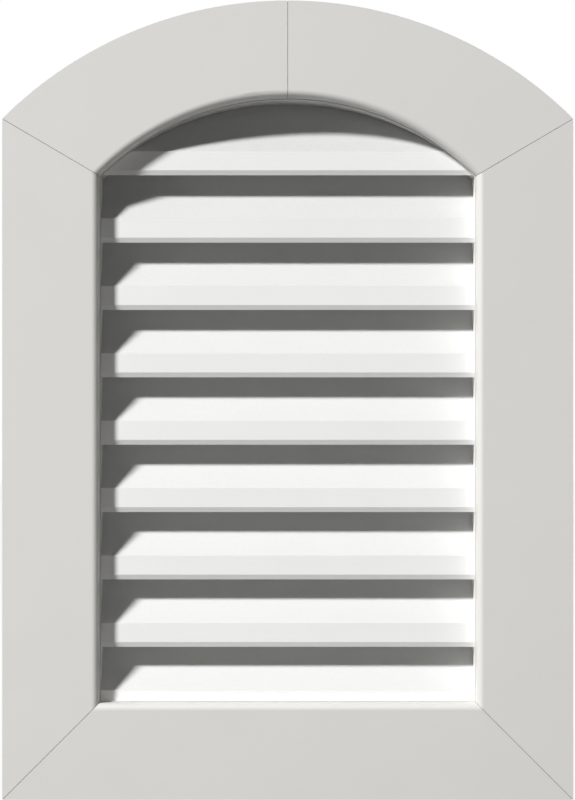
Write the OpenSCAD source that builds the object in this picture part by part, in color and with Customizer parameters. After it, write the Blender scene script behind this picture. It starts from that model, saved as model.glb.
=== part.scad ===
// Arch-top gable vent: a mitred face frame, a box liner behind it, slanted louvers and a screen
// X runs to the right, Y from the front to the back, Z up
// The origin is on the wall plane, at the middle of the frame's bottom edge

/* [Face frame] */
// Overall width across the face boards
overall_w = 508; // [420:1:640]
// Overall height from the bottom edge to the crown
overall_h = 711.2; // [560:0.1:960]
// Width of every face board
board_w = 86; // [60:0.5:110]
// Thickness of the face boards
face_t = 18; // [12:0.5:26]
// Radius of the rounded edge round the opening
edge_r = 6.35; // [2:0.05:9]
// Half of the angle that each arc of the arch turns through
arc_half_angle = 45; // [32:1:55]
// Width of the open line at each glued joint between face boards
glue_line = 0.4; // [0.1:0.1:1]

/* [Liner] */
// Thickness of the liner boards
liner_t = 18; // [15:0.5:26]
// Depth of the liner behind the face frame
liner_depth = 50.8; // [40:0.1:90]
// Depth of the rebate in the backs of the face boards that takes the liner's front edge
seat_depth = 3; // [1:0.5:6]
// How far the liner stands inside the edge of the face opening
liner_reveal = 0.9; // [0:0.1:3]
// Depth of the housings that hold the louver and sill ends
housing_depth = 6; // [3:0.5:7]
// Clearance of each housed or scribed end
joint_fit = 0.2; // [0.1:0.05:0.4]

/* [Louvers] */
// Thickness of a louver board
louver_t = 16.5; // [14:0.5:22]
// Slope of the louvers from level
louver_angle = 45; // [40:1:50]
// Height of the upright front edge of a louver
fascia_h = 17; // [10:0.5:19]
// Lean of the bevel under the front edge, from upright
bevel_lean = 24; // [10:1:45]
// Height from one louver to the next
louver_pitch = 60.3; // [50:0.1:80]
// Drop from the crown of the liner to the front edge of the top louver
top_drop = 45.9; // [38:0.1:70]
// Least height of front edge that the bottom louver shows above the sill
least_show = 6; // [4:0.5:14]
// How far the front edges stand behind the front of the liner
louver_setback = 3.6; // [0:0.1:7]
// Room left between the back of the louvers and the screen
rear_room = 3.8; // [2:0.1:10]

/* [Screen] */
// Lap of the screen on the back edges of the liner
screen_lap = 14; // [12:0.5:15]
// Thickness of the screen
screen_t = 0.8; // [0.4:0.1:1.5]
// Width of a strand between two openings of the mesh
strand_w = 1.4; // [0.8:0.1:3]
// Distance from one strand to the next
strand_pitch = 45; // [36:0.5:80]

/* [Staples] */
// Length of a staple across its crown
staple_w = 12.7; // [8:0.1:16]
// Width of the staple wire
wire_w = 1.3; // [0.8:0.1:2]
// Thickness of the staple wire
wire_t = 0.6; // [0.4:0.1:1]
// Length of a staple leg in the liner
leg_l = 8; // [5:0.5:12]
// Distance of the staples from the inner edge of the liner
staple_inset = 9; // [8:0.5:11]
// Clearance of a leg in its hole
leg_fit = 0.1; // [0.05:0.05:0.2]
// Staples along the sill
sill_staples = 3; // [2:1:5]
// Staples along each jamb
jamb_staples = 4; // [2:1:6]
// Staples round the arched head
head_staples = 5; // [3:2:7]

/* [Hidden] */
$fn = 96;
frame_half = overall_w / 2;
open_half = frame_half - board_w;
outer_arc_r = frame_half / sin(arc_half_angle);
outer_arc_z = overall_h - outer_arc_r;
inner_arc_r = open_half / sin(arc_half_angle);
inner_arc_z = overall_h - board_w - inner_arc_r;
liner_half = open_half - liner_reveal;
liner_out_half = liner_half + liner_t;
head_r = inner_arc_r - liner_reveal;
sill_top = board_w + liner_reveal;
sill_bottom = sill_top - liner_t;
liner_front = -seat_depth;
liner_len = liner_depth + seat_depth;
seat_w = liner_t - liner_reveal + joint_fit;
louver_front = liner_front + louver_setback;
louver_run = liner_depth - louver_front - rear_room;
housed_half = liner_half + housing_depth - joint_fit;
screen_half = liner_half + screen_lap;
crown_z = inner_arc_z + head_r;
top_crease = crown_z - top_drop;
louver_count = 1 + floor((top_crease - sill_top - least_show) / louver_pitch);
// A cut runs this far past the face that it opens
past = 1;

frame_colour = [0.83, 0.82, 0.8];
liner_colour = [0.87, 0.87, 0.85];
louver_colour = [0.93, 0.93, 0.92];
screen_colour = [0.25, 0.26, 0.27];
staple_colour = [0.72, 0.73, 0.75];

// Height at which the arc round centre_z is x away from the middle
function arc_z(centre_z, r, x) = centre_z + sqrt(r * r - x * x);

// Point on the line from a to b, at a share of its length
function along(a, b, share) = a + (b - a) * share;

// Unit vector a quarter turn anticlockwise from the line a to b
function beside(a, b) = [a.y - b.y, b.x - a.x] / norm(b - a);

function flipped(points) = [for (i = [len(points) - 1 : -1 : 0]) [-points[i].x, points[i].y]];

// Corners of the face opening and of the frame's outline, on the right-hand side
spring_in = [open_half, arc_z(inner_arc_z, inner_arc_r, open_half)];
spring_out = [frame_half, arc_z(outer_arc_z, outer_arc_r, frame_half)];
foot_in = [open_half, board_w];
foot_out = [frame_half, 0];

// Corners of the liner at the springing
liner_spring = [liner_half, arc_z(inner_arc_z, head_r, liner_half)];
liner_shoulder = [liner_out_half, arc_z(inner_arc_z, head_r + liner_t, liner_out_half)];

// Upright plate with an outline drawn in X and Z, from y0 to y1
module plate(y0, y1) {
    translate([0, y1, 0])
        rotate([90, 0, 0])
            linear_extrude(y1 - y0)
                children();
}

// Outline with straight sides and an arc on top
module arched_outline(half_w, bottom_z, centre_z, r) {
    difference() {
        translate([-half_w, bottom_z])
            square([2 * half_w, centre_z + r + past - bottom_z]);
        difference() {
            translate([-r - past, centre_z])
                square([2 * (r + past), r + 2 * past]);
            translate([0, centre_z])
                circle(r = r);
        }
    }
}

// Section of what the opening takes from the boards: x outwards from its edge, y back from the face
// It is wider in front, where the edge is rounded, and at the back, where the liner is let in
module opening_section(reach) {
    translate([-reach, -past])
        square([reach, face_t + 2 * past]);
    difference() {
        translate([-past, -past])
            square([edge_r + past, edge_r + past]);
        translate([edge_r, edge_r])
            circle(r = edge_r);
    }
    translate([-past, face_t - seat_depth])
        square([seat_w + past, seat_depth + past]);
}

module opening_sides() {
    translate([0, -face_t, 0])
        linear_extrude(overall_h)
            for (side = [0, 1])
                mirror([side, 0])
                    translate([open_half, 0])
                        opening_section(open_half);
}

module opening_foot() {
    translate([-frame_half, -face_t, board_w])
        rotate([90, 0, 90])
            linear_extrude(overall_w)
                rotate(-90)
                    opening_section(overall_h);
}

// What the boards of the arch leave above the opening
module over_the_arch() {
    difference() {
        plate(-face_t - past, past)
            translate([-frame_half, inner_arc_z])
                square([overall_w, overall_h]);
        translate([0, -face_t, inner_arc_z])
            rotate([-90, 0, 0])
                rotate_extrude()
                    intersection() {
                        translate([inner_arc_r, 0])
                            opening_section(inner_arc_r + past);
                        translate([0, -2 * past])
                            square([2 * inner_arc_r, face_t + 4 * past]);
                    }
    }
}

// The face frame before it is parted into boards
module face_ring() {
    difference() {
        plate(-face_t, 0)
            arched_outline(frame_half, 0, outer_arc_z, outer_arc_r);
        difference() {
            intersection() {
                opening_sides();
                opening_foot();
            }
            over_the_arch();
        }
    }
}

// Line of a mitre from the inner corner to the outer one, moved off the joint by half a glue line
function mitre_line(inner, outer, side) = [
    for (share = [-0.3, 1.4]) along(inner, outer, share) + beside(inner, outer) * side * glue_line / 2
];

module face_board(points) {
    color(frame_colour)
        intersection() {
            face_ring();
            plate(-face_t - past, past)
                polygon(points);
        }
}

module bottom_rail() {
    mitre = mitre_line(foot_in, foot_out, -1);
    face_board(concat(mitre, flipped(mitre)));
}

module right_stile() {
    foot_mitre = mitre_line(foot_in, foot_out, 1);
    shoulder_mitre = mitre_line(spring_in, spring_out, -1);
    face_board([foot_mitre[0], foot_mitre[1], shoulder_mitre[1], shoulder_mitre[0]]);
}

module left_stile() {
    mirror([1, 0, 0])
        right_stile();
}

module right_arch_board() {
    mitre = mitre_line(spring_in, spring_out, 1);
    joint_x = glue_line / 2;
    top_z = overall_h + past;
    face_board(concat(mitre, [[mitre[1].x, top_z], [joint_x, top_z], [joint_x, mitre[0].y]]));
}

module left_arch_board() {
    mirror([1, 0, 0])
        right_arch_board();
}

// Section of a louver: x back from its front edge, y up from the crease, grown all round by grow
// The front edge is upright down to the lip, and a bevel leans back from there to the underside
function louver_section(grow) =
    let (
        rise = tan(louver_angle),
        over = grow / cos(louver_angle),
        under = (louver_t + grow) / cos(louver_angle),
        back_y = louver_run + grow,
        bevel_way = [sin(bevel_lean), -cos(bevel_lean)],
        lip = [0, -fascia_h] - grow * [cos(bevel_lean), sin(bevel_lean)],
        bevel_l = (lip.y - lip.x * rise + under) / (cos(bevel_lean) + sin(bevel_lean) * rise)
    )
    [
        [-grow, over - grow * rise],
        [back_y, back_y * rise + over],
        [back_y, back_y * rise - under],
        lip + bevel_l * bevel_way,
        lip - (grow + lip.x) / sin(bevel_lean) * bevel_way
    ];

// Bar with a louver's section, from x0 to x1, for the louver with the given number from the top
module louver_bar(number, x0, x1, grow) {
    translate([x0, louver_front, top_crease - (number - 1) * louver_pitch])
        rotate([90, 0, 90])
            linear_extrude(x1 - x0)
                polygon(louver_section(grow));
}

// Space that the louvers fill: housed ends below the springing, scribed to the head above it
module louver_field() {
    arched_outline(liner_half - joint_fit, sill_top, inner_arc_z, head_r - joint_fit);
    translate([-housed_half, sill_top])
        square([2 * housed_half, liner_spring.y - joint_fit - sill_top]);
}

module louver(number) {
    color(louver_colour)
        intersection() {
            louver_bar(number, -housed_half, housed_half, 0);
            plate(liner_front, liner_depth)
                louver_field();
        }
}

// Housings for the louver ends in the right-hand jamb, stopped before both of its edges
module louver_housings() {
    intersection() {
        for (number = [1 : louver_count])
            louver_bar(number, 0, liner_half + housing_depth, joint_fit);
        plate(liner_front, liner_depth)
            translate([liner_half - past, sill_top])
                square([liner_t, liner_spring.y - sill_top]);
    }
}

module right_jamb_board() {
    difference() {
        plate(liner_front, liner_depth)
            polygon([
                [liner_half, sill_bottom],
                [liner_out_half, sill_bottom],
                liner_shoulder,
                liner_spring
            ]);
        louver_housings();
        translate([liner_half - past, liner_front - past, sill_bottom - past])
            cube([housing_depth + past, liner_len + 2 * past, liner_t + joint_fit + past]);
    }
}

module right_jamb() {
    color(liner_colour)
        difference() {
            right_jamb_board();
            staple_leg_holes();
        }
}

module left_jamb() {
    color(liner_colour)
        difference() {
            mirror([1, 0, 0])
                right_jamb_board();
            staple_leg_holes();
        }
}

module sill() {
    color(liner_colour)
        difference() {
            translate([-housed_half, liner_front, sill_bottom])
                cube([2 * housed_half, liner_len, liner_t]);
            staple_leg_holes();
        }
}

// The head is one strip bent to the arch, mitred on the jambs
module arched_head() {
    lift = beside(liner_spring, liner_shoulder) * joint_fit;
    mitre = [for (share = [-0.5, 2]) along(liner_spring, liner_shoulder, share) + lift];
    top_corner = [mitre[1].x, crown_z + liner_t + past];
    color(liner_colour)
        difference() {
            intersection() {
                translate([0, liner_front, inner_arc_z])
                    rotate([-90, 0, 0])
                        rotate_extrude()
                            translate([head_r, 0])
                                square([liner_t, liner_len]);
                plate(liner_front - past, liner_depth + past)
                    polygon(concat(mitre, [top_corner], flipped([top_corner]), flipped(mitre)));
            }
            staple_leg_holes();
        }
}

// Places of the staples in X and Z, each with the turn of its crown
staple_line_half = liner_half + staple_inset;
jamb_run = liner_spring.y - sill_top;
staple_places = concat(
    [for (i = [1 : sill_staples])
        [(2 * i / (sill_staples + 1) - 1) * liner_half, sill_top - staple_inset, 0]],
    [for (side = [-1, 1], i = [1 : jamb_staples])
        [side * staple_line_half, sill_top + jamb_run * (i - 0.5) / jamb_staples, 90]],
    [for (i = [1 : head_staples])
        let (turn = (2 * i / (head_staples + 1) - 1) * arc_half_angle)
        [(head_r + staple_inset) * sin(turn), inner_arc_z + (head_r + staple_inset) * cos(turn), -turn]]
);

module at_staples() {
    for (place = staple_places)
        translate([place.x, liner_depth, place.y])
            rotate([0, -place.z, 0])
                children();
}

module staple_leg(side, grow) {
    centre_x = side * (staple_w - wire_t) / 2;
    translate([centre_x - wire_t / 2 - grow, -leg_l - grow, -wire_w / 2 - grow])
        cube([wire_t + 2 * grow, leg_l + screen_t + wire_t + grow, wire_w + 2 * grow]);
}

module staple_leg_holes() {
    at_staples()
        for (side = [-1, 1])
            staple_leg(side, leg_fit);
}

module screen_staples() {
    color(staple_colour)
        at_staples() {
            translate([-staple_w / 2, screen_t, -wire_w / 2])
                cube([staple_w, wire_t, wire_w]);
            for (side = [-1, 1])
                staple_leg(side, 0);
        }
}

// Strands of the mesh, counted from the middle across and from the sill up
module strands() {
    columns = floor(liner_half / strand_pitch);
    rows = floor((crown_z - sill_top) / strand_pitch);
    for (i = [-columns : columns])
        translate([i * strand_pitch - strand_w / 2, sill_bottom])
            square([strand_w, overall_h - sill_bottom]);
    for (i = [1 : rows])
        translate([-frame_half, sill_top + i * strand_pitch - strand_w / 2])
            square([overall_w, strand_w]);
}

module insect_screen() {
    color(screen_colour)
        difference() {
            plate(liner_depth, liner_depth + screen_t)
                difference() {
                    arched_outline(screen_half, sill_top - screen_lap, inner_arc_z, head_r + screen_lap);
                    difference() {
                        arched_outline(liner_half, sill_top, inner_arc_z, head_r);
                        strands();
                    }
                }
            staple_leg_holes();
        }
}

bottom_rail();
left_stile();
right_stile();
left_arch_board();
right_arch_board();
sill();
left_jamb();
right_jamb();
arched_head();
for (i = [1 : louver_count])
    louver(i);
insect_screen();
screen_staples();
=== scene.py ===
"""Looks and studio for an arch-top gable vent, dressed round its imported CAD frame.

X runs to the right, Y from the front to the back and Z up, in metres. The face of the vent
looks along -Y, its bottom edge lies at Z = 0 and the wall plane is Y = 0.
"""

import logging
import math
from dataclasses import dataclass
from enum import Enum
from typing import Any, Callable, Sequence

import bpy
from mathutils import Matrix, Vector


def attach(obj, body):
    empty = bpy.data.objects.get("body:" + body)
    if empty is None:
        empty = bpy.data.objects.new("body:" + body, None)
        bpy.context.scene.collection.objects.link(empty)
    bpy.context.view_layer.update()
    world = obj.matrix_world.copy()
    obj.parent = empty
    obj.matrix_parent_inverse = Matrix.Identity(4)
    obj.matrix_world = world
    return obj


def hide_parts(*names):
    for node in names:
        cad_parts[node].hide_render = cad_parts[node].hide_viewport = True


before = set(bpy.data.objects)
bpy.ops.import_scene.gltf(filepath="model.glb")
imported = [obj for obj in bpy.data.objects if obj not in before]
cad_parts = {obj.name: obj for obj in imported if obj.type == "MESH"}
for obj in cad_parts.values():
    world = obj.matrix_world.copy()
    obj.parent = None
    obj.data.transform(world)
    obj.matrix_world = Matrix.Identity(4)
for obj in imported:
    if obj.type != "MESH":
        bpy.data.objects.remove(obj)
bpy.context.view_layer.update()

MM = 0.001
BODY = "root"
# Two points closer than this are one point
CLOSE = 1e-6

log = logging.getLogger("gable_vent")


class Slot(Enum):
    """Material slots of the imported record."""

    FACE = "face_board"
    LINER = "liner_board"
    LOUVER = "louver_board"
    SCREEN = "screen_mesh"
    STAPLE = "staple_wire"


class Side(Enum):
    """Sides of the vent as seen from the front, with the sign of X there."""

    LEFT = -1
    RIGHT = 1


Colour = tuple[float, float, float, float]


def linear(hex_colour: str) -> Colour:
    """Turn an sRGB hex colour into linear values.

    Args:
        hex_colour: Six hex digits, such as "D6D5D1".

    Returns:
        Red, green, blue and an alpha of 1, linear.
    """
    parts = [int(hex_colour[i : i + 2], 16) / 255 for i in (0, 2, 4)]
    r, g, b = (c / 12.92 if c <= 0.04045 else ((c + 0.055) / 1.055) ** 2.4 for c in parts)
    return (r, g, b, 1.0)


def add_node(
    tree: bpy.types.NodeTree,
    kind: str,
    settings: dict[str, Any] | None = None,
    inputs: dict[str | int, Any] | None = None,
) -> bpy.types.Node:
    """Add a node with its settings, its values and its links.

    Args:
        tree: Tree that gets the node.
        kind: Blender's name of the node type.
        settings: Properties of the node by name.
        inputs: Sockets by name or number, each with a value or with the socket that feeds it.

    Returns:
        The new node.
    """
    node = tree.nodes.new(kind)
    for name, value in (settings or {}).items():
        setattr(node, name, value)
    for key, value in (inputs or {}).items():
        if isinstance(value, bpy.types.NodeSocket):
            tree.links.new(value, node.inputs[key])
        else:
            node.inputs[key].default_value = value
    return node


def new_material(name: str) -> tuple[bpy.types.Material, bpy.types.NodeTree]:
    """Make an empty node material.

    Args:
        name: Name of the material.

    Returns:
        The material and its node tree.
    """
    material = bpy.data.materials.new(name)
    material.use_nodes = True
    material.node_tree.nodes.clear()
    return material, material.node_tree


# Finishes


@dataclass(frozen=True)
class BoardFinish:
    """Cellular PVC board with its closed satin skin, extruded and then sawn to length.

    The foamed core is hidden. The skin scatters light like matt paint, with a low sheen at a
    glancing angle, and carries long shallow ripples from the calibrating rollers.

    Attributes:
        name: Name of the material.
        colour: Colour of the clean skin, as sRGB hex.
        shade: Colour of the slightly duller patches, as sRGB hex.
        top_shade: Painted shade for faces that look up, as a colour in sRGB hex.
        top_shade_share: How much of that painted shade a level face gets, from 0 to 1.
        roughness: Mean roughness of the skin.
        along: Direction in which the boards were extruded, as a unit vector.
        coat: Share of a clear satin coat over the skin, from 0 to 1.
        top_shade_matting: How much rougher the skin is where the painted shade is full.
        shade_share_at_foot: Share of the painted shade that is left at the foot of the vent.
        full_shade_height_mm: Height at and above which the painted shade is full.
        shade_rise_power: How late the painted shade grows on the way up, as a power.
        sawn: Colour of the sawn edges that face the front, as sRGB hex, or None for skin there.
    """

    name: str
    colour: str
    shade: str
    top_shade: str
    top_shade_share: float
    roughness: float
    along: tuple[float, float, float]

    patch_mm: float = 60.0
    speck_mm: float = 3.2
    ripple_mm: float = 9.0
    # The real skin has pores of about 0.2 mm, too fine to show, so they are drawn at 1.1 mm
    pore_mm: float = 1.1
    ripple_depth_mm: float = 0.012
    pore_depth_mm: float = 0.004
    stretch: float = 14.0
    ior: float = 1.53
    coat: float = 0.0
    top_shade_matting: float = 0.4
    shade_share_at_foot: float = 1.0
    full_shade_height_mm: float = 600.0
    shade_rise_power: float = 5.0
    sawn: str | None = None

    def material(self) -> bpy.types.Material:
        """Build the node material.

        Returns:
            The finished material.
        """
        material, tree = new_material(self.name)
        place = add_node(tree, "ShaderNodeTexCoord").outputs["Object"]
        patches = self._noise(tree, place, self.patch_mm, 3.0)
        specks = self._noise(tree, place, self.speck_mm, 2.0)
        wear = add_node(
            tree,
            "ShaderNodeMath",
            {"operation": "MULTIPLY_ADD"},
            {0: specks, 1: 0.35, 2: patches},
        ).outputs[0]
        dull = add_node(
            tree,
            "ShaderNodeMapRange",
            inputs={"Value": wear, "From Min": 0.45, "From Max": 0.95, "To Min": 0.0, "To Max": 1.0},
        ).outputs["Result"]
        skin = add_node(
            tree,
            "ShaderNodeMix",
            {"data_type": "RGBA"},
            {"Factor": dull, "A": linear(self.colour), "B": linear(self.shade)},
        )
        # Painted shade: faces that look up are darkened, the louver slopes most
        top_shade_mask = self._top_shade(tree, place, specks)
        top_shaded_colour = add_node(
            tree,
            "ShaderNodeMix",
            {"data_type": "RGBA"},
            {"Factor": top_shade_mask, "A": skin.outputs["Result"], "B": linear(self.top_shade)},
        ).outputs["Result"]
        if self.sawn:
            top_shaded_colour = self._sawn(tree, top_shaded_colour)
        roughness = add_node(
            tree,
            "ShaderNodeMapRange",
            inputs={
                "Value": wear,
                "From Min": 0.3,
                "From Max": 1.0,
                "To Min": self.roughness - 0.05,
                "To Max": self.roughness + 0.07,
            },
        ).outputs["Result"]
        matt = add_node(
            tree,
            "ShaderNodeMath",
            {"operation": "MULTIPLY_ADD", "use_clamp": True},
            {0: top_shade_mask, 1: self.top_shade_matting, 2: roughness},
        ).outputs[0]
        shader = add_node(
            tree,
            "ShaderNodeBsdfPrincipled",
            inputs={
                "Base Color": top_shaded_colour,
                "Roughness": matt,
                "IOR": self.ior,
                "Coat Weight": self.coat,
                "Coat Roughness": self.roughness,
                "Normal": self._relief(tree, place),
            },
        )
        add_node(tree, "ShaderNodeOutputMaterial", inputs={"Surface": shader.outputs["BSDF"]})
        return material

    @staticmethod
    def _noise(
        tree: bpy.types.NodeTree, place: bpy.types.NodeSocket, size_mm: float, detail: float
    ) -> bpy.types.NodeSocket:
        """Noise whose spots are about size_mm across.

        Args:
            tree: Tree of the material.
            place: Coordinates in metres.
            size_mm: Size of a spot.
            detail: Octaves of finer noise.

        Returns:
            The noise value, from 0 to 1.
        """
        node = add_node(
            tree,
            "ShaderNodeTexNoise",
            inputs={"Vector": place, "Scale": 1 / (size_mm * MM), "Detail": detail},
        )
        return node.outputs["Fac"]

    def _top_shade(
        self, tree: bpy.types.NodeTree, place: bpy.types.NodeSocket, specks: bpy.types.NodeSocket
    ) -> bpy.types.NodeSocket:
        """Share of painted shade on a face, from its slope, its height and a little noise.

        Args:
            tree: Tree of the material.
            place: Coordinates in metres.
            specks: Noise that breaks the film up.

        Returns:
            The share, from 0 to top_shade_share.
        """
        normal = add_node(tree, "ShaderNodeNewGeometry").outputs["Normal"]
        up = add_node(tree, "ShaderNodeSeparateXYZ", inputs={"Vector": normal}).outputs["Z"]
        slope = add_node(
            tree,
            "ShaderNodeMapRange",
            inputs={
                "Value": up,
                "From Min": 0.1,
                "From Max": 0.75,
                "To Min": 0.0,
                "To Max": self.top_shade_share,
            },
        ).outputs["Result"]
        broken = add_node(
            tree,
            "ShaderNodeMapRange",
            inputs={"Value": specks, "From Min": 0.2, "From Max": 0.8, "To Min": 0.9, "To Max": 1.0},
        ).outputs["Result"]
        # Painted shade that grows with height, darkest on the upper louvers under the arch
        height = add_node(tree, "ShaderNodeSeparateXYZ", inputs={"Vector": place}).outputs["Z"]
        rise = add_node(
            tree,
            "ShaderNodeMath",
            {"operation": "MULTIPLY", "use_clamp": True},
            {0: height, 1: 1 / (self.full_shade_height_mm * MM)},
        ).outputs[0]
        height_ramp = add_node(
            tree, "ShaderNodeMath", {"operation": "POWER"}, {0: rise, 1: self.shade_rise_power}
        ).outputs[0]
        upper_shade = add_node(
            tree,
            "ShaderNodeMapRange",
            inputs={"Value": height_ramp, "To Min": self.shade_share_at_foot, "To Max": 1.0},
        ).outputs["Result"]
        top_shade_mask = slope
        for share in (broken, upper_shade):
            top_shade_mask = add_node(
                tree,
                "ShaderNodeMath",
                {"operation": "MULTIPLY", "use_clamp": True},
                {0: top_shade_mask, 1: share},
            ).outputs[0]
        return top_shade_mask

    def _sawn(
        self, tree: bpy.types.NodeTree, colour: bpy.types.NodeSocket
    ) -> bpy.types.NodeSocket:
        """A darker tone on the faces that look to the front, which on the liner are its sawn front
        edges.

        Args:
            tree: Tree of the material.
            colour: Colour of the skin.

        Returns:
            The colour with the edges in it.
        """
        normal = add_node(tree, "ShaderNodeTexCoord").outputs["Normal"]
        way = add_node(tree, "ShaderNodeSeparateXYZ", inputs={"Vector": normal}).outputs["Y"]
        share = add_node(
            tree,
            "ShaderNodeMapRange",
            inputs={"Value": way, "From Min": -0.9, "From Max": -0.98, "To Min": 0.0, "To Max": 1.0},
        ).outputs["Result"]
        mixed = add_node(
            tree,
            "ShaderNodeMix",
            {"data_type": "RGBA"},
            {"Factor": share, "A": colour, "B": linear(self.sawn)},
        )
        return mixed.outputs["Result"]

    def _relief(
        self, tree: bpy.types.NodeTree, place: bpy.types.NodeSocket
    ) -> bpy.types.NodeSocket:
        """Normals with the rollers' ripple and the pores of the skin.

        Args:
            tree: Tree of the material.
            place: Coordinates in metres.

        Returns:
            The bumped normal.
        """
        squeeze = [1 - abs(a) * (1 - 1 / self.stretch) for a in self.along]
        drawn = add_node(
            tree, "ShaderNodeMapping", inputs={"Vector": place, "Scale": squeeze}
        ).outputs["Vector"]
        ripple = add_node(
            tree,
            "ShaderNodeBump",
            inputs={
                "Height": self._noise(tree, drawn, self.ripple_mm, 2.0),
                "Strength": 1.0,
                "Distance": self.ripple_depth_mm * MM,
            },
        )
        pores = add_node(
            tree,
            "ShaderNodeBump",
            inputs={
                "Height": self._noise(tree, place, self.pore_mm, 1.0),
                "Strength": 1.0,
                "Distance": self.pore_depth_mm * MM,
                "Normal": ripple.outputs["Normal"],
            },
        )
        return pores.outputs["Normal"]


@dataclass(frozen=True)
class CementFinish:
    """Solvent cement in a mitre, set hard and then soiled.

    It is darker than the boards, where the dark grey also paints the shade in the narrow joint,
    and slightly glossy where it drew back while it dried.
    """

    name: str = "set solvent cement"
    # Dark grey for soiled cement, darkened further as painted shade of the narrow joint
    colour: str = "4A4A47"
    pale: str = "6A6964"
    lump_mm: float = 2.5
    roughness: float = 0.4

    def material(self) -> bpy.types.Material:
        """Build the node material."""
        material, tree = new_material(self.name)
        place = add_node(tree, "ShaderNodeTexCoord").outputs["Object"]
        lumps = add_node(
            tree,
            "ShaderNodeTexNoise",
            inputs={"Vector": place, "Scale": 1 / (self.lump_mm * MM), "Detail": 3.0},
        ).outputs["Fac"]
        tone = add_node(
            tree,
            "ShaderNodeMix",
            {"data_type": "RGBA"},
            {"Factor": lumps, "A": linear(self.colour), "B": linear(self.pale)},
        )
        bump = add_node(
            tree,
            "ShaderNodeBump",
            inputs={"Height": lumps, "Strength": 0.6, "Distance": 0.1 * MM},
        )
        shader = add_node(
            tree,
            "ShaderNodeBsdfPrincipled",
            inputs={
                "Base Color": tone.outputs["Result"],
                "Roughness": self.roughness,
                "Normal": bump.outputs["Normal"],
            },
        )
        add_node(tree, "ShaderNodeOutputMaterial", inputs={"Surface": shader.outputs["BSDF"]})
        return material


@dataclass(frozen=True)
class YarnFinish:
    """Glass-fibre yarn coated in soft PVC, woven and fused at the crossings.

    The coating is charcoal and low in gloss, with a paler bloom where fine dirt clings to it.
    """

    name: str = "PVC-coated glass-fibre yarn"
    colour: str = "34373A"
    bloom: str = "5A5C5D"
    bloom_mm: float = 35.0
    lay_mm: float = 0.9
    roughness: float = 0.55
    ior: float = 1.5

    def material(self) -> bpy.types.Material:
        """Build the node material."""
        material, tree = new_material(self.name)
        place = add_node(tree, "ShaderNodeTexCoord").outputs["Object"]
        dusting = add_node(
            tree,
            "ShaderNodeTexNoise",
            inputs={"Vector": place, "Scale": 1 / (self.bloom_mm * MM), "Detail": 4.0},
        ).outputs["Fac"]
        share = add_node(
            tree,
            "ShaderNodeMapRange",
            inputs={"Value": dusting, "From Min": 0.45, "From Max": 0.75, "To Min": 0.0, "To Max": 0.7},
        ).outputs["Result"]
        tone = add_node(
            tree,
            "ShaderNodeMix",
            {"data_type": "RGBA"},
            {"Factor": share, "A": linear(self.colour), "B": linear(self.bloom)},
        )
        lay = add_node(
            tree,
            "ShaderNodeTexNoise",
            inputs={"Vector": place, "Scale": 1 / (self.lay_mm * MM), "Detail": 1.0},
        ).outputs["Fac"]
        bump = add_node(
            tree,
            "ShaderNodeBump",
            inputs={"Height": lay, "Strength": 0.5, "Distance": 0.05 * MM},
        )
        shader = add_node(
            tree,
            "ShaderNodeBsdfPrincipled",
            inputs={
                "Base Color": tone.outputs["Result"],
                "Roughness": self.roughness,
                "IOR": self.ior,
                "Normal": bump.outputs["Normal"],
            },
        )
        add_node(tree, "ShaderNodeOutputMaterial", inputs={"Surface": shader.outputs["BSDF"]})
        return material


@dataclass(frozen=True)
class WireFinish:
    """Galvanised steel wire, drawn flat and formed into staples.

    Zinc is a soft grey metal whose drawing lines blur the reflections, with duller spots.
    """

    name: str = "galvanised steel wire"
    colour: str = "B9BCBF"
    dull: str = "8E9193"
    spot_mm: float = 1.5
    line_mm: float = 0.15
    roughness: float = 0.34

    def material(self) -> bpy.types.Material:
        """Build the node material."""
        material, tree = new_material(self.name)
        place = add_node(tree, "ShaderNodeTexCoord").outputs["Object"]
        spots = add_node(
            tree,
            "ShaderNodeTexNoise",
            inputs={"Vector": place, "Scale": 1 / (self.spot_mm * MM), "Detail": 2.0},
        ).outputs["Fac"]
        tone = add_node(
            tree,
            "ShaderNodeMix",
            {"data_type": "RGBA"},
            {"Factor": spots, "A": linear(self.colour), "B": linear(self.dull)},
        )
        spread = add_node(
            tree,
            "ShaderNodeMapRange",
            inputs={
                "Value": spots,
                "To Min": self.roughness - 0.06,
                "To Max": self.roughness + 0.14,
            },
        ).outputs["Result"]
        lines = add_node(
            tree,
            "ShaderNodeTexNoise",
            inputs={"Vector": place, "Scale": 1 / (self.line_mm * MM), "Detail": 0.0},
        ).outputs["Fac"]
        bump = add_node(
            tree,
            "ShaderNodeBump",
            inputs={"Height": lines, "Strength": 0.3, "Distance": 0.01 * MM},
        )
        shader = add_node(
            tree,
            "ShaderNodeBsdfPrincipled",
            inputs={
                "Base Color": tone.outputs["Result"],
                "Metallic": 1.0,
                "Roughness": spread,
                "Normal": bump.outputs["Normal"],
            },
        )
        add_node(tree, "ShaderNodeOutputMaterial", inputs={"Surface": shader.outputs["BSDF"]})
        return material


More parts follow.
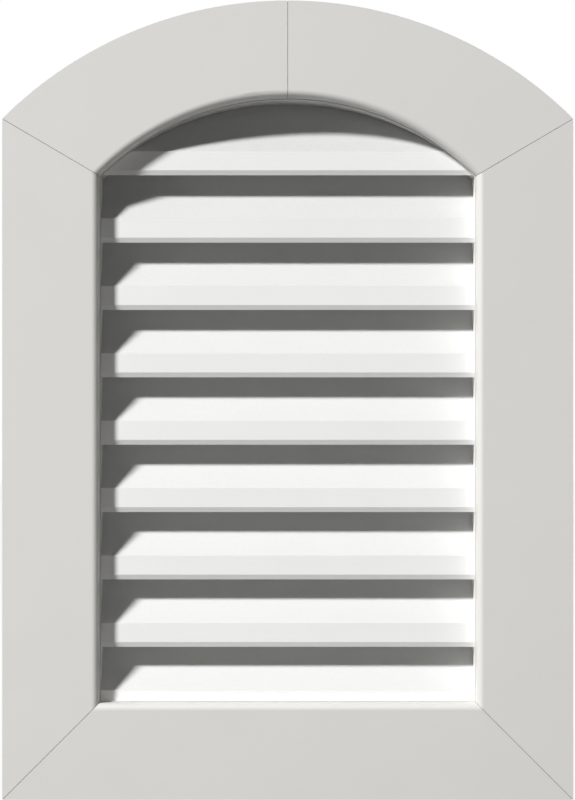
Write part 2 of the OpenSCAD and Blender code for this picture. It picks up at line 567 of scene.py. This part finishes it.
@dataclass(frozen=True)
class FloorFinish:
    """Pale matt paper for the studio floor, which the camera sees as near white."""

    name: str = "matt studio paper"
    colour: str = "3C3C3B"
    shade: str = "393938"
    lift: float = 0.92
    mottle_mm: float = 120.0

    def material(self) -> bpy.types.Material:
        """Build the node material, which adds its lift only for rays that show the background."""
        material, tree = new_material(self.name)
        place = add_node(tree, "ShaderNodeTexCoord").outputs["Object"]
        mottle = add_node(
            tree,
            "ShaderNodeTexNoise",
            inputs={"Vector": place, "Scale": 1 / (self.mottle_mm * MM), "Detail": 2.0},
        ).outputs["Fac"]
        tone = add_node(
            tree,
            "ShaderNodeMix",
            {"data_type": "RGBA"},
            {"Factor": mottle, "A": linear(self.colour), "B": linear(self.shade)},
        )
        shader = add_node(
            tree,
            "ShaderNodeBsdfPrincipled",
            inputs={
                "Base Color": tone.outputs["Result"],
                "Roughness": 0.9,
                "Specular IOR Level": 0.0,
                "Emission Color": linear("FFFFFF"),
                "Emission Strength": seen_share(tree, self.lift, 0.0),
            },
        )
        add_node(tree, "ShaderNodeOutputMaterial", inputs={"Surface": shader.outputs["BSDF"]})
        return material


def seen_share(tree: bpy.types.NodeTree, seen: float, unseen: float) -> bpy.types.NodeSocket:
    """One value for rays that show the background and another for rays that only light.

    Args:
        tree: Tree that gets the nodes.
        seen: Value for camera, glossy and transmission rays.
        unseen: Value for all other rays.

    Returns:
        The socket with the value.
    """
    path = add_node(tree, "ShaderNodeLightPath")
    either = add_node(
        tree,
        "ShaderNodeMath",
        {"operation": "MAXIMUM"},
        {0: path.outputs["Is Camera Ray"], 1: path.outputs["Is Glossy Ray"]},
    )
    shown = add_node(
        tree,
        "ShaderNodeMath",
        {"operation": "MAXIMUM"},
        {0: either.outputs[0], 1: path.outputs["Is Transmission Ray"]},
    )
    value = add_node(
        tree,
        "ShaderNodeMapRange",
        inputs={"Value": shown.outputs[0], "To Min": unseen, "To Max": seen},
    )
    return value.outputs["Result"]


# Modelling


def clear_selection() -> None:
    """Deselect every object, since an operator acts on all that is selected."""
    bpy.ops.object.select_all(action="DESELECT")


def rename(name: str) -> bpy.types.Object:
    """Give the active object and its mesh a name, and return the object."""
    piece = bpy.context.active_object
    piece.name = name
    piece.data.name = name
    return piece


def select_where(kind: str, test: Callable[[Any], bool]) -> int:
    """Select the parts of the active mesh that pass a test, in edit mode, and nothing else.

    Args:
        kind: VERT, EDGE or FACE.
        test: Takes a vertex's, an edge's or a face's list of corner places.

    Returns:
        How many parts are selected.
    """
    bpy.ops.mesh.select_mode(type=kind)
    bpy.ops.mesh.select_all(action="DESELECT")
    bpy.ops.object.mode_set(mode="OBJECT")
    mesh = bpy.context.active_object.data
    places = [v.co.copy() for v in mesh.vertices]
    if kind == "VERT":
        parts = [(v, [places[v.index]]) for v in mesh.vertices]
    elif kind == "EDGE":
        parts = [(e, [places[i] for i in e.vertices]) for e in mesh.edges]
    else:
        parts = [(p, [places[i] for i in p.vertices]) for p in mesh.polygons]
    chosen = 0
    for part, corners in parts:
        part.select = test(corners)
        chosen += part.select
    bpy.ops.object.mode_set(mode="EDIT")
    return chosen


def apply_place(piece: bpy.types.Object, place: Matrix | None = None) -> None:
    """Move a piece to a place and bake that into its mesh, so that its object is at the origin.

    Args:
        piece: The piece.
        place: Its place, or None to bake the one that it has.
    """
    clear_selection()
    piece.select_set(True)
    bpy.context.view_layer.objects.active = piece
    if place is not None:
        piece.matrix_world = place @ piece.matrix_world
    bpy.ops.object.transform_apply(location=True, rotation=True, scale=True)


def apply_modifier(piece: bpy.types.Object, kind: str, settings: dict[str, Any]) -> None:
    """Add a modifier to a piece and apply it at once.

    Args:
        piece: The piece.
        kind: Blender's name of the modifier type.
        settings: Properties of the modifier by name.
    """
    clear_selection()
    piece.select_set(True)
    bpy.context.view_layer.objects.active = piece
    bpy.ops.object.modifier_add(type=kind)
    modifier = piece.modifiers[-1]
    for name, value in settings.items():
        setattr(modifier, name, value)
    bpy.ops.object.modifier_apply(modifier=modifier.name)


def join(pieces: Sequence[bpy.types.Object], name: str) -> bpy.types.Object:
    """Join pieces into one.

    Args:
        pieces: The pieces, of which the first stays.
        name: Name of the result.

    Returns:
        The joined piece.
    """
    clear_selection()
    for piece in pieces:
        piece.select_set(True)
    bpy.context.view_layer.objects.active = pieces[0]
    bpy.ops.object.join()
    return rename(name)


def add_piece(piece: bpy.types.Object, material: bpy.types.Material) -> None:
    """Give a finished piece its material, its body and its slot, and report it.

    Args:
        piece: The piece.
        material: Its only material.
    """
    piece.data.materials.clear()
    piece.data.materials.append(material)
    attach(piece, BODY)
    log.info("%s: %d faces, %s", piece.name, len(piece.data.polygons), material.name)


def dress_node(name: str, material: bpy.types.Material) -> None:
    """Put a material on a CAD node and leave its mesh alone.

    Args:
        name: Name of the node.
        material: Material for all of its slots.
    """
    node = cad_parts[name]
    if not node.material_slots:
        node.data.materials.append(material)
    for slot in node.material_slots:
        slot.material = material
    log.info("%s: CAD node, %s", name, material.name)


# The vent


@dataclass
class VentSizes:
    """Sizes that the sub-assemblies share, in millimetres, as the CAD source states them."""

    frame_half: float = 254.0
    overall_h: float = 711.2
    board_w: float = 86.0
    face_t: float = 18.0
    edge_r: float = 6.35
    seat_depth: float = 3.0
    glue_line: float = 0.4
    arc_half_angle: float = 45.0
    liner_reveal: float = 0.9
    liner_depth: float = 50.8
    screen_lap: float = 14.0
    screen_t: float = 0.8
    staple_inset: float = 9.0

    @property
    def open_half(self) -> float:
        """Half of the width of the face opening."""
        return self.frame_half - self.board_w

    @property
    def inner_arc_r(self) -> float:
        """Radius of the opening's arch."""
        return self.open_half / math.sin(math.radians(self.arc_half_angle))

    @property
    def inner_arc_z(self) -> float:
        """Height of the middle of the opening's arch."""
        return self.overall_h - self.board_w - self.inner_arc_r

    @property
    def outer_arc_r(self) -> float:
        """Radius of the frame's outer arch."""
        return self.frame_half / math.sin(math.radians(self.arc_half_angle))

    @property
    def outer_arc_z(self) -> float:
        """Height of the middle of the frame's outer arch."""
        return self.overall_h - self.outer_arc_r

    @property
    def liner_half(self) -> float:
        """Half of the width inside the liner."""
        return self.open_half - self.liner_reveal

    @property
    def head_r(self) -> float:
        """Radius of the arch inside the liner."""
        return self.inner_arc_r - self.liner_reveal

    @property
    def sill_top(self) -> float:
        """Height of the sill's top face."""
        return self.board_w + self.liner_reveal

    def spring_z(self, half_w: float, centre_z: float, radius: float) -> float:
        """Height at which an arch is half_w away from the middle."""
        return centre_z + math.sqrt(radius**2 - half_w**2)


@dataclass
class FaceFrame:
    """The five mitred face boards and the cement in their joints."""

    sizes: VentSizes
    finish: BoardFinish
    cement: CementFinish
    nodes: Sequence[str] = (
        "bottom_rail",
        "left_stile",
        "right_stile",
        "left_arch_board",
        "right_arch_board",
    )
    cement_recess: float = 0.9
    rounding_steps: int = 8

    def build(self) -> None:
        """Dress the boards and lay the cement in all five joints."""
        material = self.finish.material()
        for name in self.nodes:
            dress_node(name, material)
        cement = self.cement.material()
        for name, inner, outer in self.joints():
            add_piece(self.cement_line(name, inner, outer), cement)

    def joints(self) -> list[tuple[str, Vector, Vector]]:
        """Inner and outer end of each joint, in X and Z.

        Returns:
            Name, inner end and outer end of each joint.
        """
        s = self.sizes
        spring_in = s.spring_z(s.open_half, s.inner_arc_z, s.inner_arc_r)
        spring_out = s.spring_z(s.frame_half, s.outer_arc_z, s.outer_arc_r)
        crown = (Vector((0, s.overall_h - s.board_w)), Vector((0, s.overall_h)))
        found = [("cement_crown", *crown)]
        for side in Side:
            x = side.value
            word = side.name.lower()
            inner = Vector((x * s.open_half, spring_in))
            outer = Vector((x * s.frame_half, spring_out))
            found.append((f"cement_{word}_shoulder", inner, outer))
            inner = Vector((x * s.open_half, s.board_w))
            outer = Vector((x * s.frame_half, 0))
            found.append((f"cement_{word}_foot", inner, outer))
        return found

    def cement_line(self, name: str, inner: Vector, outer: Vector) -> bpy.types.Object:
        """Model the cement in one joint, drawn back from the face all round.

        Args:
            name: Name of the piece.
            inner: Inner end of the joint, in X and Z.
            outer: Outer end of the joint, in X and Z.

        Returns:
            The piece.
        """
        s = self.sizes
        reach = (outer - inner).length
        front = -s.face_t + self.cement_recess
        back = -s.seat_depth - self.cement_recess
        long = s.board_w - 2 * self.cement_recess
        clear_selection()
        bpy.ops.mesh.primitive_plane_add(
            size=1, location=(s.board_w / 2 * MM, (front + back) / 2 * MM, 0)
        )
        piece = rename(name)
        piece.scale = (long * MM, (back - front) * MM, 1)
        apply_place(piece)
        bpy.ops.object.mode_set(mode="EDIT")
        corner = Vector((self.cement_recess * MM, front * MM, 0))
        select_where("VERT", lambda places: (places[0] - corner).length < CLOSE)
        bpy.ops.mesh.bevel(
            offset=s.edge_r * MM, segments=self.rounding_steps, affect="VERTICES", profile=0.5
        )
        bpy.ops.mesh.select_all(action="SELECT")
        bpy.ops.mesh.extrude_region_move(
            TRANSFORM_OT_translate={"value": (0, 0, s.glue_line * MM)}
        )
        bpy.ops.mesh.select_all(action="SELECT")
        bpy.ops.transform.translate(value=(0, 0, -s.glue_line / 2 * MM))
        bpy.ops.mesh.normals_make_consistent(inside=False)
        bpy.ops.object.mode_set(mode="OBJECT")
        way = (outer - inner).normalized()
        turn = Matrix.Rotation(-math.atan2(way.y, way.x), 4, "Y")
        stretch = Matrix.Scale(reach / s.board_w, 4, (1, 0, 0))
        move = Matrix.Translation((inner.x * MM, 0, inner.y * MM))
        apply_place(piece, move @ turn @ stretch)
        return piece


@dataclass
class Liner:
    """The box behind the face: sill, jambs and bent head."""

    finish: BoardFinish
    nodes: Sequence[str] = ("sill", "left_jamb", "right_jamb", "arched_head")

    def build(self) -> None:
        """Dress the liner boards."""
        material = self.finish.material()
        for name in self.nodes:
            dress_node(name, material)


@dataclass
class LouverBank:
    """The slanted boards across the opening."""

    finish: BoardFinish
    prefix: str = "louver_"

    def build(self) -> None:
        """Dress every louver that the frame holds."""
        material = self.finish.material()
        for name in sorted(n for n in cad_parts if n.startswith(self.prefix)):
            dress_node(name, material)


@dataclass
class InsectScreen:
    """Mesh over the back of the liner, two layers of yarn fused where they cross."""

    sizes: VentSizes
    finish: YarnFinish
    # Real insect mesh has 1.4 mm from yarn to yarn, too fine to show, so it is drawn at 2 mm
    pitch: float = 2.0
    yarn: float = 0.44
    sides: int = 6
    arc_steps: int = 32

    def build(self) -> None:
        """Weave the mesh, trim it to the arch and put it in the place of the CAD screen."""
        s = self.sizes
        half = s.liner_half + s.screen_lap
        low = s.sill_top - s.screen_lap
        high = s.inner_arc_z + s.head_r + s.screen_lap
        near = s.liner_depth + self.yarn / 2
        far = s.liner_depth + s.screen_t - self.yarn / 2
        upright = self._layer("Z", half, low, high, near)
        level = self._layer("X", half, low, high, far)
        mesh = join([upright, level], "insect_mesh")
        self._trim(s.head_r + s.screen_lap, half)
        bpy.ops.object.shade_smooth()
        add_piece(mesh, self.finish.material())
        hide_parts("insect_screen")

    def _layer(
        self, axis: str, half: float, low: float, high: float, depth: float
    ) -> bpy.types.Object:
        """One layer of parallel yarns, before it is trimmed.

        Args:
            axis: Direction of the yarns, X or Z.
            half: Half of the width of the screen.
            low: Height of its bottom edge.
            high: Height of its crown.
            depth: Y of the yarns' middle.

        Returns:
            The layer.
        """
        upright = axis == "Z"
        length = high - low if upright else 2 * half
        span = 2 * half if upright else high - low
        count = int((span - self.yarn) / self.pitch) + 1
        start = -(count - 1) / 2 * self.pitch
        middle = (low + high) / 2
        first = (start, depth, middle) if upright else (0, depth, middle + start)
        clear_selection()
        bpy.ops.mesh.primitive_cylinder_add(
            vertices=self.sides,
            radius=self.yarn / 2 * MM,
            depth=length * MM,
            location=[c * MM for c in first],
            rotation=(0, 0 if upright else math.pi / 2, 0),
        )
        layer = rename("upright_yarns" if upright else "level_yarns")
        apply_place(layer)
        step = (self.pitch * MM, 0, 0) if upright else (0, 0, self.pitch * MM)
        apply_modifier(
            layer,
            "ARRAY",
            {
                "count": count,
                "use_relative_offset": False,
                "use_constant_offset": True,
                "constant_offset_displace": step,
            },
        )
        return layer

    def _trim(self, radius: float, half: float) -> None:
        """Cut the active mesh along the chords of the arch, which is as a blade would leave it.

        Args:
            radius: Radius of the screen's arch.
            half: Half of the width of the screen.
        """
        s = self.sizes
        limit = math.asin(half / radius)
        step = 2 * limit / self.arc_steps
        bpy.ops.object.mode_set(mode="EDIT")
        for i in range(self.arc_steps):
            turn = -limit + (i + 0.5) * step
            out = Vector((math.sin(turn), 0, math.cos(turn)))
            at = Vector((0, 0, s.inner_arc_z)) + out * radius * math.cos(step / 2)
            bpy.ops.mesh.select_all(action="SELECT")
            bpy.ops.mesh.bisect(
                plane_co=at * MM, plane_no=out, use_fill=True, clear_outer=True
            )
        bpy.ops.object.mode_set(mode="OBJECT")


@dataclass
class Staples:
    """Wire staples that hold the screen on the back edges of the liner."""

    sizes: VentSizes
    finish: WireFinish
    crown_w: float = 12.7
    wire_w: float = 1.3
    wire_t: float = 0.6
    leg: float = 8.0
    tip: float = 1.0
    bend: float = 0.5
    bend_steps: int = 4
    edge: float = 0.12
    on_sill: int = 3
    on_jamb: int = 4
    on_head: int = 5

    def build(self) -> None:
        """Form one staple, copy it to every place and join the copies."""
        first = self.form()
        pieces = []
        for place in self.places():
            copy = first.copy()
            copy.data = first.data.copy()
            bpy.context.collection.objects.link(copy)
            apply_place(copy, place)
            pieces.append(copy)
        bpy.data.objects.remove(first)
        staples = join(pieces, "wire_staples")
        bpy.ops.object.shade_smooth_by_angle(angle=math.radians(40))
        add_piece(staples, self.finish.material())
        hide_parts("screen_staples")

    def form(self) -> bpy.types.Object:
        """Model one staple: its crown along X on Y = 0, its legs towards -Y.

        Returns:
            The staple.
        """
        w, t, legs = self.wire_w * MM, self.wire_t * MM, (self.leg + self.sizes.screen_t) * MM
        half = self.crown_w / 2 * MM
        clear_selection()
        bpy.ops.mesh.primitive_cube_add(size=1, location=(0, t / 2, 0))
        staple = rename("staple")
        staple.scale = (2 * half, t, w)
        apply_place(staple)
        bpy.ops.object.mode_set(mode="EDIT")
        for x in (-half + t, half - t):
            bpy.ops.mesh.select_all(action="SELECT")
            bpy.ops.mesh.bisect(plane_co=(x, 0, 0), plane_no=(1, 0, 0))
        select_where(
            "FACE",
            lambda places: all(p.y < CLOSE and abs(p.x) > half - t - CLOSE for p in places),
        )
        bpy.ops.mesh.extrude_region_move(TRANSFORM_OT_translate={"value": (0, -legs, 0)})
        select_where(
            "VERT", lambda places: places[0].y < -legs + CLOSE and abs(places[0].x) > half - CLOSE
        )
        bpy.ops.transform.translate(value=(0, self.tip * MM, 0))
        select_where(
            "EDGE", lambda places: all(p.y > t - CLOSE and abs(p.x) > half - CLOSE for p in places)
        )
        bpy.ops.mesh.bevel(offset=self.bend * MM, segments=self.bend_steps, affect="EDGES")
        bpy.ops.mesh.select_all(action="SELECT")
        bpy.ops.mesh.normals_make_consistent(inside=False)
        bpy.ops.object.mode_set(mode="OBJECT")
        apply_modifier(
            staple,
            "BEVEL",
            {"width": self.edge * MM, "segments": 1, "limit_method": "ANGLE"},
        )
        return staple

    def places(self) -> list[Matrix]:
        """Places of the staples on the sill, the jambs and the head.

        Returns:
            One matrix for each staple.
        """
        s = self.sizes
        spring = s.spring_z(s.liner_half, s.inner_arc_z, s.head_r)
        run = spring - s.sill_top
        line = s.liner_half + s.staple_inset
        ring = s.head_r + s.staple_inset
        found = [
            ((2 * i / (self.on_sill + 1) - 1) * s.liner_half, s.sill_top - s.staple_inset, 0.0)
            for i in range(1, self.on_sill + 1)
        ]
        for side in Side:
            for i in range(1, self.on_jamb + 1):
                height = s.sill_top + run * (i - 0.5) / self.on_jamb
                found.append((side.value * line, height, 90.0))
        for i in range(1, self.on_head + 1):
            turn = (2 * i / (self.on_head + 1) - 1) * s.arc_half_angle
            angle = math.radians(turn)
            found.append((ring * math.sin(angle), s.inner_arc_z + ring * math.cos(angle), -turn))
        depth = s.liner_depth + s.screen_t
        return [
            Matrix.Translation((x * MM, depth * MM, z * MM))
            @ Matrix.Rotation(math.radians(-turn), 4, "Y")
            for x, z, turn in found
        ]


# The studio


@dataclass
class Studio:
    """Floor, light and camera."""

    finish: FloorFinish
    floor_size: float = 24.0
    middle: tuple[float, float, float] = (0.0, 0.02, 0.356)
    main_way: tuple[float, float, float] = (-1.0, -1.0, 1.0)
    main_distance: float = 14.6
    main_radius: float = 1.11
    main_power: float = 12050.0
    # The front fill is a strip low over the floor, so that it hardly reaches the slopes
    front_place: tuple[float, float, float] = (-0.1, -0.95, 0.06)
    front_w: float = 1.1
    front_h: float = 0.1
    front_power: float = 0.9
    front_colour: str = "FFFDF7"
    # The back fill shines nearly along the louvers, so that little of it shows between them
    back_place: tuple[float, float, float] = (-1.2, 2.2, 2.2)
    back_size: float = 0.8
    back_power: float = 62.0
    # The side fill stands behind the plane of the face, so that only the right side sees it
    side_place: tuple[float, float, float] = (2.6, 0.42, 0.7)
    side_size: float = 0.5
    side_power: float = 26.0
    world_light: float = 0.02
    camera_place: tuple[float, float, float] = (-0.0002, -3.131, 0.3558)
    lens: float = 157.5
    sensor: float = 36.0

    def build(self) -> None:
        """Lay the floor, set the lamps and the camera, and choose the view transform."""
        self._floor()
        self._world()
        self._main_light()
        front = self._fill("front_fill", self.front_place, self.front_power)
        front.size, front.size_y = self.front_w, self.front_h
        front.color = linear(self.front_colour)[:3]
        back = self._fill("back_fill", self.back_place, self.back_power)
        back.size = back.size_y = self.back_size
        side = self._fill("side_fill", self.side_place, self.side_power)
        side.size = side.size_y = self.side_size
        self._camera()
        bpy.context.scene.view_settings.view_transform = "Standard"

    def _floor(self) -> None:
        """Lay the floor under the vent."""
        clear_selection()
        bpy.ops.mesh.primitive_plane_add(size=self.floor_size, location=(0, 0, 0))
        floor = rename("studio_floor")
        floor.data.materials.append(self.finish.material())
        log.info("%s: %g m square", floor.name, self.floor_size)

    def _world(self) -> None:
        """Set a white background that lights the vent only at a low level."""
        world = bpy.data.worlds.new("studio_world")
        world.use_nodes = True
        tree = world.node_tree
        tree.nodes.clear()
        sky = add_node(
            tree,
            "ShaderNodeBackground",
            inputs={
                "Color": linear("FFFFFF"),
                "Strength": seen_share(tree, 1.0, self.world_light),
            },
        )
        add_node(tree, "ShaderNodeOutputWorld", inputs={"Surface": sky.outputs["Background"]})
        bpy.context.scene.world = world

    def _main_light(self) -> None:
        """Hang the soft main light far off, over the viewer's left shoulder."""
        data = bpy.data.lights.new("main_light", "POINT")
        data.energy = self.main_power
        data.shadow_soft_size = self.main_radius
        lamp = bpy.data.objects.new("main_light", data)
        way = Vector(self.main_way).normalized()
        lamp.location = Vector(self.middle) + way * self.main_distance
        bpy.context.scene.collection.objects.link(lamp)

    def _fill(
        self, name: str, place: tuple[float, float, float], power: float
    ) -> bpy.types.AreaLight:
        """Set a soft lamp that faces the middle of the vent and that the camera doesn't see.

        Args:
            name: Name of the lamp.
            place: Where it stands.
            power: Its power in watts.

        Returns:
            The lamp's data, which still gets its size.
        """
        data = bpy.data.lights.new(name, "AREA")
        data.shape = "RECTANGLE"
        data.energy = power
        lamp = bpy.data.objects.new(name, data)
        lamp.location = place
        lamp.visible_camera = False
        aim = Vector(self.middle) - Vector(place)
        lamp.rotation_euler = aim.to_track_quat("-Z", "Y").to_euler()
        bpy.context.scene.collection.objects.link(lamp)
        return data

    def _camera(self) -> None:
        """Set the camera level, on the vent's middle line, as the photo's framing asks."""
        data = bpy.data.cameras.new("camera")
        data.lens = self.lens
        data.sensor_width = self.sensor
        camera = bpy.data.objects.new("camera", data)
        camera.location = self.camera_place
        camera.rotation_euler = (math.pi / 2, 0, 0)
        bpy.context.scene.collection.objects.link(camera)
        bpy.context.scene.camera = camera


def main() -> None:
    """Build the vent's pieces in order, then the studio."""
    logging.basicConfig(level=logging.INFO, format="%(message)s")
    sizes = VentSizes()
    face = BoardFinish(
        name="cellular PVC face board",
        colour="D2D1CD",
        shade="D0CFCB",
        # Painted shade on faces that look up, very slight on the face boards
        top_shade="D0CEC9",
        top_shade_share=0.1,
        roughness=0.56,
        coat=1.0,
        along=(0, 0, 1),
    )
    liner = BoardFinish(
        name="cellular PVC liner board",
        colour="EEEEED",
        shade="EBEBEA",
        # Painted shade on faces that look up, such as the top of the sill
        top_shade="DCDCDA",
        top_shade_share=0.3,
        roughness=0.5,
        along=(0, 0, 1),
        sawn="BDBCB8",
    )
    louver = BoardFinish(
        name="cellular PVC louver board",
        colour="EFEFEE",
        shade="ECECEB",
        # Painted shade: the louver slopes that look up are darkened strongly
        top_shade="C0C0BE",
        top_shade_share=0.95,
        # Painted shade darker towards the top: only this share is left at the foot
        shade_share_at_foot=0.55,
        roughness=0.55,
        along=(1, 0, 0),
    )
    FaceFrame(sizes, face, CementFinish()).build()
    Liner(liner).build()
    LouverBank(louver).build()
    InsectScreen(sizes, YarnFinish()).build()
    Staples(sizes, WireFinish()).build()
    Studio(FloorFinish()).build()


if __name__ == "__main__":
    main()
